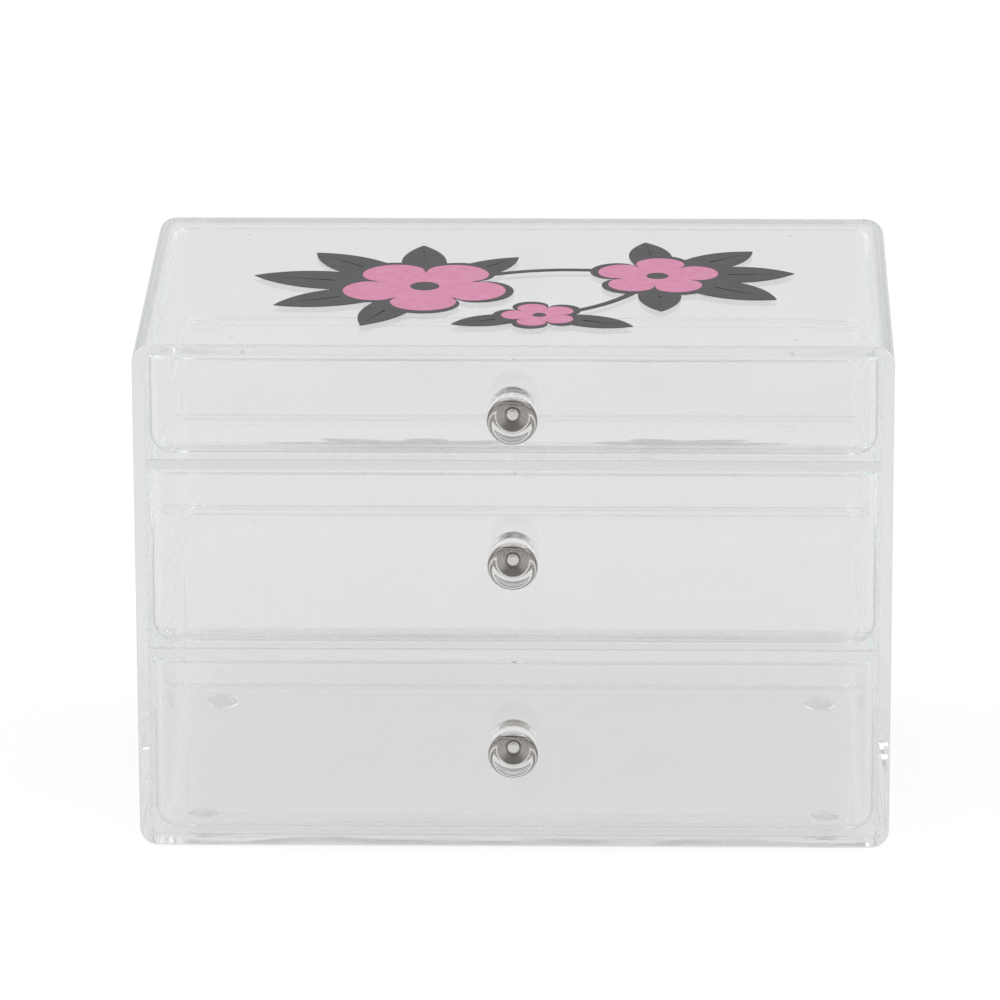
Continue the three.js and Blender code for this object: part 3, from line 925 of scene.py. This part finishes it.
def stem_edge(first, second, bend):
    line = curve_points(on_print(BLOSSOMS[first]["at"]), on_print(bend), on_print(BLOSSOMS[second]["at"]))
    left, right = [], []
    for i, point in enumerate(line):
        along = line[min(i + 1, len(line) - 1)] - line[max(i - 1, 0)]
        across = Vector((-along.y, along.x, 0)).normalized() * STEM_WIDTH / 2
        left.append(point + across)
        right.append(point - across)
    return right + left[::-1]


def film_object(name, outlines):
    bm = bmesh.new()
    for points in outlines:
        add_film(bm, points)
    bmesh.ops.recalc_face_normals(bm, faces=bm.faces)
    return bare_object(bm, name)


def build_leaves():
    everywhere = [(BLOSSOMS[name], leaf) for name, leaves in LEAVES.items() for leaf in leaves]
    contours = film_object("contours", [petal_edge(b, CONTOUR_WIDTH + INK_GAP) for b in BLOSSOMS.values()])
    sprigs = film_object(
        "sprigs",
        [leaf_edge(blossom, *leaf) for blossom, leaf in everywhere] + [stem_edge(*stem) for stem in STEMS],
    )
    openings = film_object(
        "openings",
        [petal_edge(b, INK_GAP) for b in BLOSSOMS.values()]
        + [vein_edge(blossom, *leaf[:2]) for blossom, leaf in everywhere],
    )
    openings.data.transform(Matrix.Translation((0, 0, -print_low.z)))
    openings.data.transform(Matrix.Scale(3, 4, (0, 0, 1)))
    openings.data.transform(Matrix.Translation((0, 0, print_low.z)))
    for operation, other in (("UNION", sprigs), ("DIFFERENCE", openings)):
        step = contours.modifiers.new(operation, "BOOLEAN")
        step.operation = operation
        step.object = other
        step.use_self = True
    apply_modifiers(contours)
    bpy.data.objects.remove(sprigs)
    bpy.data.objects.remove(openings)
    return make_piece(mesh_of(contours), "ink_leaves", grey_ink, "case", ["print_leaves"])


# %% The pink petals and the hearts of the blossoms
def build_petals(name, blossom):
    """A ring between the petals' edge and the heart, raised to a film."""
    centre = on_print(blossom["at"])
    heart = blossom["radius"] * PRINT_UNIT * HEART_SHARE
    edge = petal_edge(blossom)
    bm = bmesh.new()
    loops = []
    for ring in (edge, [centre + (p - centre).normalized() * (heart + INK_GAP) for p in edge]):
        corners = [bm.verts.new((p.x, p.y, film_bottom)) for p in ring]
        loops += [bm.edges.new(pair) for pair in zip(corners, corners[1:] + corners[:1])]
    raise_film(bm, bmesh.ops.bridge_loops(bm, edges=loops)["faces"])
    bmesh.ops.recalc_face_normals(bm, faces=bm.faces)
    make_piece(bm, f"ink_petals_{name}", pink_ink, "case", [f"print_blossom_{name}"])


def build_heart(name, blossom):
    centre = on_print(blossom["at"])
    heart = blossom["radius"] * PRINT_UNIT * HEART_SHARE
    thickness = print_high.z - film_bottom
    middle = Vector((centre.x, centre.y, film_bottom + thickness / 2))
    bm = bmesh.new()
    bmesh.ops.create_cone(
        bm, cap_ends=True, segments=TURN_STEPS, radius1=heart, radius2=heart,
        depth=thickness, matrix=Matrix.Translation(middle),
    )
    round_off(bm, edges_at(bm, 2, print_high.z), thickness / 3, RIM_STEPS)
    make_piece(bm, f"ink_heart_{name}", grey_ink, "case", [f"print_centre_{name}"])


build_leaves()
for name, blossom in BLOSSOMS.items():
    build_petals(name, blossom)
    build_heart(name, blossom)

# %% [markdown]
# ## The floor and the room
#
# The box stands on a pale floor that the camera sees as white. A clear object is drawn by what
# lies behind it and by what it mirrors, so the room is split by Light Path. The camera sees
# white. Rays that have gone through or off the plastic see a light grey room, a little darker on
# the camera's side. That darker side is what draws the grey lines along the edges.
#
# The floor keeps its shadow: part of its brightness is its own, and the rest is the light that
# falls on it. Further back, where less of the lamps' light arrives, its own part is a little
# larger, so that floor and room meet in the same white. High up on the camera's side the room is
# dark. Only round and slanting faces mirror that part, above all the metal in the knobs, which
# gets its contrast from it.

# %% Floor and world
FLOOR_HALF = 8.0
FLOOR_COLOUR_SEEN, FLOOR_GLOW_SEEN = 0.42, 0.7
FLOOR_COLOUR_THROUGH, FLOOR_GLOW_THROUGH = 0.5, 0.385
FLOOR_GLOW_FAR = 0.04
FAR_FROM, FAR_TO = 0.45, 1.05
ROOM_BEHIND = 0.79
ROOM_AHEAD = 0.65
ROOM_ABOVE = 0.15
ROOM_LIGHT = 0.45
RISE_SPAN = (0.1, 0.5)
TURN_SPAN = (-0.7, 0.2)


def build_floor():
    bm = bmesh.new()
    bmesh.ops.create_grid(bm, x_segments=8, y_segments=8, size=FLOOR_HALF)
    bmesh.ops.translate(bm, vec=(0, 0, packed_low.z - HAIRLINE), verts=bm.verts)
    floor = bare_object(bm, "floor")
    material = bpy.data.materials.new("pale floor")
    material.use_nodes = True
    nodes, links = material.node_tree.nodes, material.node_tree.links
    nodes.remove(nodes["Principled BSDF"])
    matt = nodes.new("ShaderNodeBsdfDiffuse")
    glow = nodes.new("ShaderNodeEmission")
    path = nodes.new("ShaderNodeLightPath")
    seen = path.outputs["Is Camera Ray"]
    colour = add_range(nodes, links, seen, 0, 1, FLOOR_COLOUR_THROUGH, FLOOR_COLOUR_SEEN)
    near_glow = add_range(nodes, links, seen, 0, 1, FLOOR_GLOW_THROUGH, FLOOR_GLOW_SEEN)
    split = nodes.new("ShaderNodeSeparateXYZ")
    links.new(nodes.new("ShaderNodeTexCoord").outputs["Object"], split.inputs["Vector"])
    far_glow = add_range(nodes, links, split.outputs["Y"], FAR_FROM, FAR_TO, 0, FLOOR_GLOW_FAR)
    total = nodes.new("ShaderNodeMath")
    links.new(near_glow, total.inputs[0])
    links.new(far_glow, total.inputs[1])
    links.new(colour, matt.inputs["Color"])
    links.new(total.outputs["Value"], glow.inputs["Strength"])
    both = nodes.new("ShaderNodeAddShader")
    links.new(matt.outputs["BSDF"], both.inputs[0])
    links.new(glow.outputs["Emission"], both.inputs[1])
    links.new(both.outputs["Shader"], nodes["Material Output"].inputs["Surface"])
    floor.data.materials.append(material)


def build_room():
    world = bpy.data.worlds.new("studio")
    bpy.context.scene.world = world
    world.use_nodes = True
    nodes, links = world.node_tree.nodes, world.node_tree.links
    path = nodes.new("ShaderNodeLightPath")
    place = nodes.new("ShaderNodeTexCoord")
    split = nodes.new("ShaderNodeSeparateXYZ")
    links.new(place.outputs["Generated"], split.inputs["Vector"])
    room = nodes["Background"]
    ahead = add_range(nodes, links, split.outputs["Z"], *RISE_SPAN, ROOM_AHEAD, ROOM_ABOVE)
    round_about = add_range(nodes, links, split.outputs["Y"], *TURN_SPAN, ROOM_AHEAD, ROOM_BEHIND)
    links.new(ahead, round_about.node.inputs["To Min"])
    links.new(round_about, room.inputs["Strength"])
    room.inputs["Color"].default_value = (1, 1, 1, 1)
    surface = room.outputs["Background"]
    for kind, strength in (("Is Diffuse Ray", ROOM_LIGHT), ("Is Camera Ray", 1.0)):
        plain = nodes.new("ShaderNodeBackground")
        plain.inputs["Color"].default_value = (1, 1, 1, 1)
        plain.inputs["Strength"].default_value = strength
        mix = nodes.new("ShaderNodeMixShader")
        links.new(path.outputs[kind], mix.inputs["Fac"])
        links.new(surface, mix.inputs[1])
        links.new(plain.outputs["Background"], mix.inputs[2])
        surface = mix.outputs["Shader"]
    links.new(surface, nodes["World Output"].inputs["Surface"])


build_floor()
build_room()

# %% [markdown]
# ## Lamps and camera
#
# Two large soft boxes stand left and right, above the box. Their size matters more than their
# strength, because the plastic mirrors them as broad pale streaks. The camera has a long lens
# and stands 2.5 m away, 18 degrees above the table and a little to the right, which was worked
# out from the edges of the case in the photograph.

# %% Lamps
LAMP_SIZE = 1.1
LAMP_RADIANCE = 2.6
LAMPS = {"left softbox": (-1.25, -0.35, 1.15), "right softbox": (1.25, -0.35, 1.25)}


def aim(item, place, target):
    item.location = place
    item.rotation_euler = (Vector(target) - Vector(place)).to_track_quat("-Z", "Y").to_euler()


object_middle = (packed_low + packed_high) / 2
for name, place in LAMPS.items():
    data = bpy.data.lights.new(name, "AREA")
    data.size = LAMP_SIZE
    data.energy = LAMP_RADIANCE * math.pi * LAMP_SIZE ** 2
    lamp = bpy.data.objects.new(name, data)
    bpy.context.scene.collection.objects.link(lamp)
    aim(lamp, place, object_middle)

# %% Camera
LENS = 283.7
SENSOR_WIDTH = 36
FARTHEST = 60
CAMERA_PLACE = (0.0474, -2.4276, 0.8999)
CAMERA_TURN = -1.25
CAMERA_DIP = 18.29
CAMERA_ROLL = -0.19

camera_data = bpy.data.cameras.new("camera")
camera_data.lens = LENS
camera_data.sensor_width = SENSOR_WIDTH
camera_data.clip_end = FARTHEST
camera = bpy.data.objects.new("camera", camera_data)
bpy.context.scene.collection.objects.link(camera)
camera.matrix_world = (
    Matrix.Translation(CAMERA_PLACE)
    @ Matrix.Rotation(math.radians(-CAMERA_TURN), 4, "Z")
    @ Matrix.Rotation(math.radians(90 - CAMERA_DIP), 4, "X")
    @ Matrix.Rotation(math.radians(CAMERA_ROLL), 4, "Z")
)
bpy.context.scene.camera = camera

# %% [markdown]
# ## How far a ray may go
#
# A ray that enters the front edge of a wall or a shelf is mirrored to and fro inside it, often
# some dozens of times, before it gets out at the back. The usual limit of 12 bounces would end it
# inside the plastic and leave black patches. Few rays go that far, so a very high limit costs
# almost no time.

# %% Bounce limits and finish
LONGEST_PATH = 1024
cycles = bpy.context.scene.cycles
cycles.max_bounces = LONGEST_PATH
cycles.transmission_bounces = LONGEST_PATH
cycles.glossy_bounces = LONGEST_PATH
cycles.transparent_max_bounces = LONGEST_PATH
bpy.context.scene.view_settings.view_transform = "Standard"
